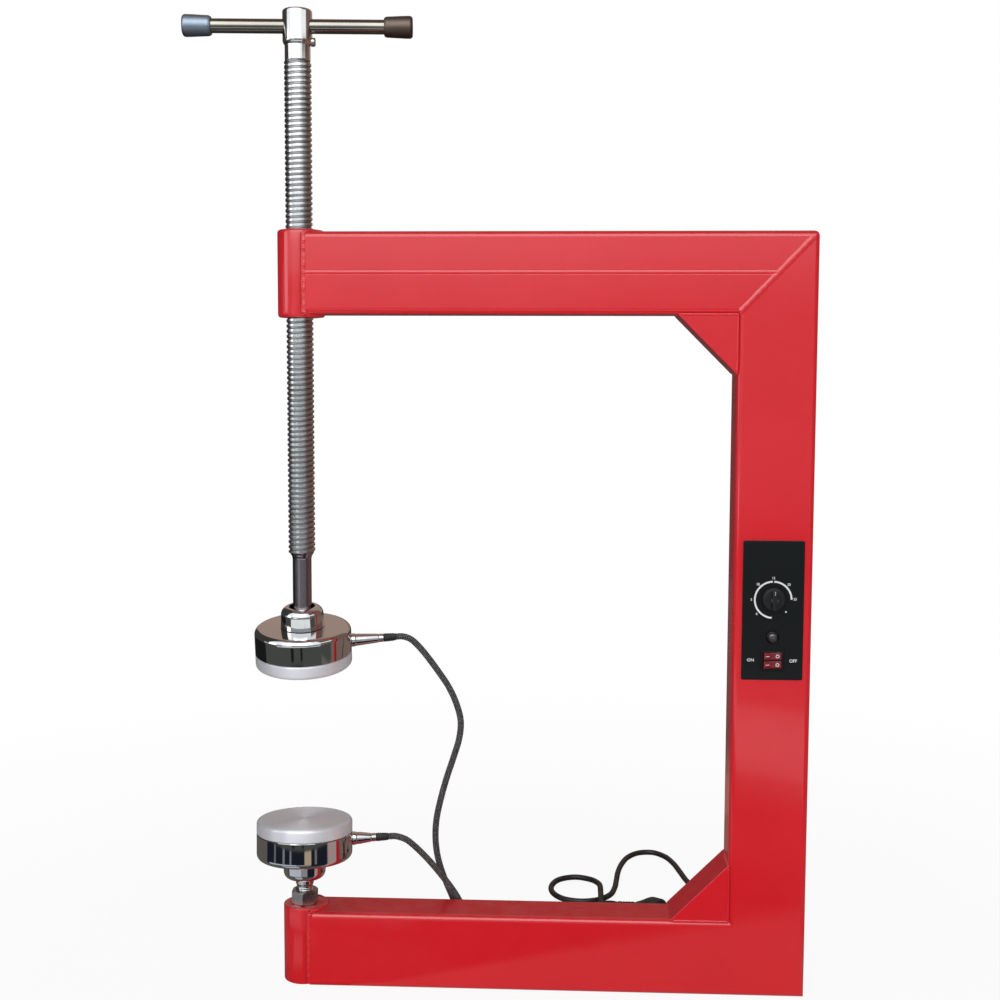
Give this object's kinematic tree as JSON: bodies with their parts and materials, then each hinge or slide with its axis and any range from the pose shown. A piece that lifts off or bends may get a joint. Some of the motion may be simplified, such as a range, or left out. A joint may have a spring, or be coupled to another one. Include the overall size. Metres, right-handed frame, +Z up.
{
  "type": "tire vulcanizer",
  "caption": "Bench tire vulcanizer: a C-frame of red tube, a screw press over round heated heads on ball seats, a timer and switch panel on the column, and a mains cord.",
  "frame": {"origin": "the middle of the frame's width and depth on the underside, at bench level", "axes": "+X to the right along the arms from screw to column, -Y to the front where the panel faces, +Z up along the press screw"},
  "size_m": [0.603, 0.4352, 0.95],
  "materials": {
    "red_paint": "gloss red enamel",
    "chrome": "polished",
    "screw_steel": "bright turned steel",
    "satin_steel": "satin",
    "plate_aluminium": "machined",
    "bronze": "bearing bronze",
    "black_plastic": "gloss black",
    "grey_plastic": "matte grey",
    "red_plastic": "translucent red",
    "lamp_lens": "smoked lens",
    "mica": "pressed mica",
    "insulation": "mineral board",
    "black_rubber": "matte black",
    "braided_lead": "black braid",
    "mains_vinyl": "black sheath",
    "brass": "bright"
  },
  "bodies": {
    "frame": {"upper_arm_top_tube": "red_paint", "upper_arm_bottom_tube": "red_paint", "column_tube": "red_paint", "lower_arm_tube": "red_paint", "upper_gusset": "red_paint", "lower_gusset": "red_paint", "screw_boss": "red_paint", "stud_boss": "red_paint", "control_panel": "black_plastic", "timer_body": "grey_plastic", "timer_nut": "screw_steel", "lamp_body": "grey_plastic", "lamp_bezel": "chrome", "lamp_lens": "lamp_lens", "switch_housing": "black_plastic", "terminal_block": "grey_plastic", "ball_stud": "chrome", "stud_lock_nut": "screw_steel", "lower_bearing_cup": "bronze", "upper_lead_grommet": "black_rubber", "lower_lead_grommet": "black_rubber", "mains_gland": "black_plastic", "mains_strain_relief": "black_rubber", "mains_cord_run": "mains_vinyl", "mains_cord_coil": "mains_vinyl", "mains_cord_tail": "mains_vinyl", "plug_body": "black_plastic", "plug_pin_left": "brass", "plug_pin_right": "brass", "upper_lead": "braided_lead", "lower_lead": "braided_lead"},
    "press_carrier": {"upper_bearing_cup": "bronze"},
    "spindle": {"press_screw": "screw_steel", "handle_hub": "chrome", "hub_grub_screw": "satin_steel"},
    "handle_bar": {"cross_bar": "screw_steel", "bar_cap_left": "satin_steel", "bar_cap_right": "satin_steel"},
    "upper_head": {"upper_heating_plate": "plate_aluminium", "upper_head_cover": "chrome", "upper_ball_cap": "chrome", "upper_pedestal": "satin_steel", "upper_heating_element": "mica", "upper_insulation": "insulation", "upper_thermostat": "black_plastic", "upper_cable_sleeve": "chrome", "upper_cable_boot": "black_rubber"},
    "lower_head": {"lower_heating_plate": "plate_aluminium", "lower_head_cover": "chrome", "lower_ball_cap": "chrome", "lower_pedestal": "satin_steel", "lower_heating_element": "mica", "lower_insulation": "insulation", "lower_thermostat": "black_plastic", "lower_cable_sleeve": "chrome", "lower_cable_boot": "black_rubber"},
    "timer_knob": {"timer_knob": "black_plastic", "timer_shaft": "screw_steel"},
    "rocker_top": {"rocker_upper": "red_plastic"},
    "rocker_bottom": {"rocker_lower": "red_plastic"}
  },
  "joints": [
    {"name": "press_travel", "type": "slide", "parent": "frame", "child": "press_carrier", "axis": [0, 0, 1], "range_m": [-0.142, 0.225], "deforming": ["upper_lead"]},
    {"name": "screw_turn", "type": "hinge", "parent": "press_carrier", "child": "spindle", "pos_m": [-0.2365, 0, 0.3607], "axis": [0, 0, 1], "range_deg": [-10220, 16195]},
    {"name": "bar_slide", "type": "slide", "parent": "spindle", "child": "handle_bar", "axis": [0.9976, 0.0698, 0], "range_m": [-0.068, 0.067]},
    {"name": "upper_head_tilt", "type": "hinge", "parent": "press_carrier", "child": "upper_head", "pos_m": [-0.2365, 0, 0.3607], "axis": [1, 0, 0], "range_deg": [-12.3, 1.2]},
    {"name": "lower_head_tilt", "type": "hinge", "parent": "frame", "child": "lower_head", "pos_m": [-0.2365, 0, 0.1191], "axis": [1, 0, 0], "range_deg": [-3.2, 8.8], "deforming": ["lower_lead"]},
    {"name": "timer_turn", "type": "hinge", "parent": "frame", "child": "timer_knob", "pos_m": [0.22, -0.0265, 0.3932], "axis": [0, 1, 0], "range_deg": [-225, 90]},
    {"name": "upper_rocker", "type": "hinge", "parent": "frame", "child": "rocker_top", "pos_m": [0.22, -0.0281, 0.3381], "axis": [0, 0, 1], "range_deg": [-20, 0]},
    {"name": "lower_rocker", "type": "hinge", "parent": "frame", "child": "rocker_bottom", "pos_m": [0.22, -0.0281, 0.3299], "axis": [0, 0, 1], "range_deg": [-20, 0]}
  ],
  "couplings": [
    {"joint": "press_travel", "follows": "screw_turn", "m_per_rad": 0.00079577}
  ]
}
